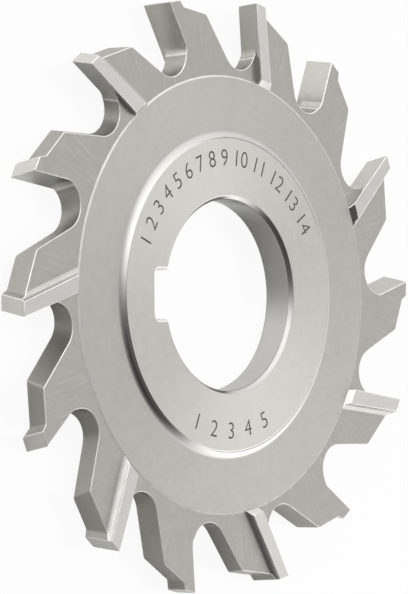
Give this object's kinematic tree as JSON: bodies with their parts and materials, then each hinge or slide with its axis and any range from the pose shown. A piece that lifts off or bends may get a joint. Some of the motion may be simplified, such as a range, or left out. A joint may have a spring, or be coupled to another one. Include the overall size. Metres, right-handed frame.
{
  "type": "side and face cutter",
  "caption": "Disc milling cutter with a keyed bore, thin web, hooked staggered teeth and raised side lands on alternate faces.",
  "frame": {"origin": "centre of the bore, midway between the two hub faces", "axes": "+Z along the bore axis, out of the face that is up at rest; +X through the middle of the keyway"},
  "size_m": [0.0998, 0.099, 0.006],
  "materials": {
    "tool_steel": "ground and satin, high speed steel"
  },
  "bodies": {
    "root": {"cutter": "tool_steel"}
  },
  "joints": []
}
